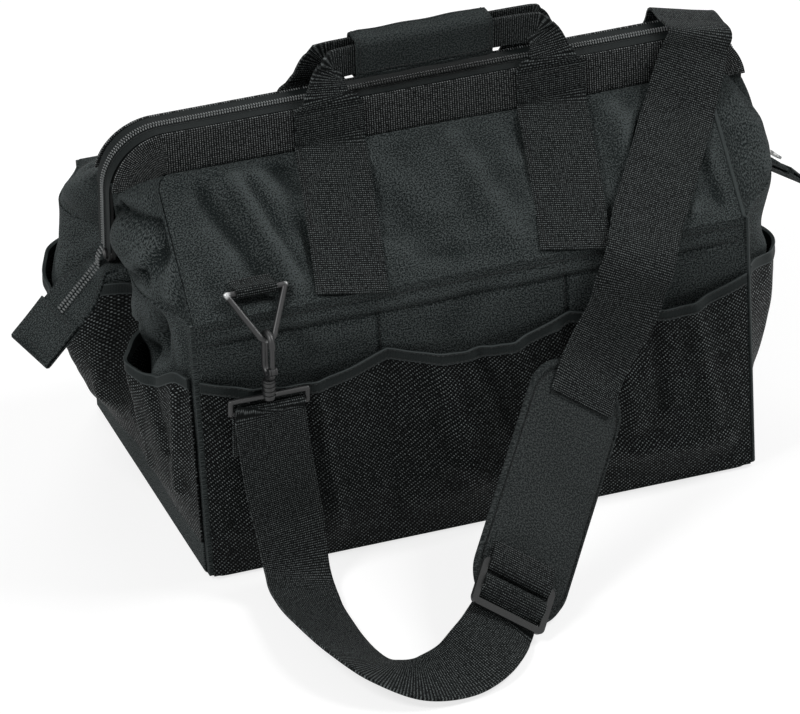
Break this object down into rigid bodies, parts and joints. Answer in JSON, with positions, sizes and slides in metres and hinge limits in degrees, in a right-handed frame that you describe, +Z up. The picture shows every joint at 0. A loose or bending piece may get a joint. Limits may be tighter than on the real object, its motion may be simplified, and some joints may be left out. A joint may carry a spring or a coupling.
{
  "type": "tool bag",
  "caption": "Gate-mouth fabric tool bag with a stiffened base, mesh pockets around it, webbing handles joined by a wrap and a padded, hooked-on shoulder strap.",
  "frame": {"origin": "centre of the base's underside, on the floor", "axes": "+X along the bag to its right end, +Y to the back, +Z up; the front, with the strap's pad, faces -Y"},
  "size_m": [0.6007, 0.4722, 0.3335],
  "materials": {
    "fabric": "charcoal black woven polyester",
    "pad_fabric": "charcoal woven cover with bound edge",
    "webbing": "black cross-ribbed webbing",
    "mesh": "glossy black diagonal mesh",
    "binding": "smooth black tape",
    "coil": "black moulded coil",
    "steel": "plain strip steel",
    "black_metal": "gloss black over steel, worn bright at the edges",
    "plastic": "satin black",
    "board": "plain stiffening board"
  },
  "bodies": {
    "bag": {"base_panel": "fabric", "base_board": "board", "front_panel": "fabric", "rear_panel": "fabric", "left_end_panel": "fabric", "right_end_panel": "fabric", "left_base_border": "fabric", "right_base_border": "fabric", "front_mesh_pocket": "mesh", "rear_mesh_pocket": "mesh", "left_mesh_pocket": "mesh", "right_mesh_pocket": "mesh", "front_pocket_binding": "binding", "rear_pocket_binding": "binding", "left_pocket_binding": "binding", "right_pocket_binding": "binding", "left_hinge_rivet": "steel", "right_hinge_rivet": "steel", "left_zip_tail": "fabric", "right_zip_tail": "fabric", "left_tail_tab": "webbing", "right_tail_tab": "webbing", "front_ring_tab": "webbing", "rear_ring_tab": "webbing", "strap_long": "webbing", "strap_short": "webbing", "shoulder_pad": "pad_fabric", "pad_loop": "webbing"},
    "front_mouth": {"front_frame": "steel", "front_mouth_band": "webbing", "front_zip_tape": "binding", "front_zip_coil": "coil", "front_shoulder": "fabric", "left_front_gusset": "fabric", "right_front_gusset": "fabric", "front_handle_legs": "webbing"},
    "rear_mouth": {"rear_frame": "steel", "rear_mouth_band": "webbing", "rear_zip_tape": "binding", "rear_zip_coil": "coil", "rear_shoulder": "fabric", "left_rear_gusset": "fabric", "right_rear_gusset": "fabric", "rear_handle_legs": "webbing"},
    "front_handle": {"front_handle_loop": "webbing", "handle_wrap": "fabric"},
    "wrap_flap": {"wrap_flap": "fabric"},
    "rear_handle": {"rear_handle_loop": "webbing"},
    "slider": {"zip_slider": "black_metal"},
    "pull": {"zip_pull": "black_metal"},
    "front_ring": {"front_ring": "black_metal", "front_swivel": "black_metal"},
    "front_hook": {"front_snap_hook": "black_metal"},
    "front_gate": {"front_hook_gate": "black_metal"},
    "rear_ring": {"rear_ring": "black_metal", "rear_swivel": "black_metal"},
    "rear_hook": {"rear_snap_hook": "black_metal"},
    "rear_gate": {"rear_hook_gate": "black_metal"},
    "adjuster": {"strap_adjuster": "plastic"}
  },
  "joints": [
    {"name": "front_mouth_hinge", "type": "hinge", "parent": "bag", "child": "front_mouth", "pos_m": [0, 0, 0.2], "axis": [1, 0, 0], "range_deg": [0, 52], "deforming": ["front_shoulder", "left_front_gusset", "right_front_gusset", "front_handle_legs", "handle_wrap", "wrap_flap", "strap_long"]},
    {"name": "rear_mouth_hinge", "type": "hinge", "parent": "bag", "child": "rear_mouth", "pos_m": [0, 0, 0.2], "axis": [-1, 0, 0], "range_deg": [0, 52], "deforming": ["rear_shoulder", "left_rear_gusset", "right_rear_gusset", "rear_handle_legs", "handle_wrap", "wrap_flap", "strap_long"]},
    {"name": "front_handle_fold", "type": "hinge", "parent": "front_mouth", "child": "front_handle", "pos_m": [0, -0.01636, 0.2908], "axis": [1, 0, 0], "range_deg": [0, 95], "deforming": ["front_handle_legs", "handle_wrap", "wrap_flap"]},
    {"name": "rear_handle_fold", "type": "hinge", "parent": "rear_mouth", "child": "rear_handle", "pos_m": [0, 0.01636, 0.2908], "axis": [-1, 0, 0], "range_deg": [0, 95], "deforming": ["rear_handle_legs", "handle_wrap", "wrap_flap"]},
    {"name": "wrap_flap_hinge", "type": "hinge", "parent": "front_handle", "child": "wrap_flap", "pos_m": [0, 0.005, 0.3325], "axis": [1, 0, 0], "range_deg": [0, 110], "deforming": ["handle_wrap"]},
    {"name": "slider_run", "type": "slide", "parent": "bag", "child": "slider", "axis": [-0.6562, -0.3489, 0.6691], "range_m": [0, 0.014]},
    {"name": "pull_swing", "type": "hinge", "parent": "slider", "child": "pull", "pos_m": [0.26262, 0.01341, 0.17396], "axis": [0.4695, -0.8829, 0], "range_deg": [0, 120]},
    {"name": "front_ring_swing", "type": "hinge", "parent": "bag", "child": "front_ring", "pos_m": [-0.164, -0.11136, 0.21831], "axis": [-1, 0, 0], "range_deg": [0, 40], "deforming": ["strap_short"]},
    {"name": "front_hook_turn", "type": "hinge", "parent": "front_ring", "child": "front_hook", "pos_m": [-0.164, -0.13523, 0.17191], "axis": [0, 0, 1], "range_deg": [-15, 15]},
    {"name": "front_gate_pivot", "type": "hinge", "parent": "front_hook", "child": "front_gate", "pos_m": [-0.164, -0.14273, 0.17191], "axis": [-1, 0, 0], "range_deg": [0, 25], "stiffness_Nm_per_rad": 0.02, "springref_deg": -11.46},
    {"name": "rear_ring_swing", "type": "hinge", "parent": "bag", "child": "rear_ring", "pos_m": [0.164, 0.11136, 0.21831], "axis": [1, 0, 0], "range_deg": [0, 40], "deforming": ["strap_long"]},
    {"name": "rear_hook_turn", "type": "hinge", "parent": "rear_ring", "child": "rear_hook", "pos_m": [0.164, 0.13523, 0.17191], "axis": [0, 0, 1], "range_deg": [-15, 15]},
    {"name": "rear_gate_pivot", "type": "hinge", "parent": "rear_hook", "child": "rear_gate", "pos_m": [0.164, 0.14273, 0.17191], "axis": [1, 0, 0], "range_deg": [0, 25], "stiffness_Nm_per_rad": 0.02, "springref_deg": -11.46},
    {"name": "adjuster_tilt", "type": "hinge", "parent": "bag", "child": "adjuster", "pos_m": [-0.02683, -0.24857, 0.04022], "axis": [-0.8013, 0.1703, 0.5736], "range_deg": [0, 25], "deforming": ["strap_short", "pad_loop"]}
  ]
}
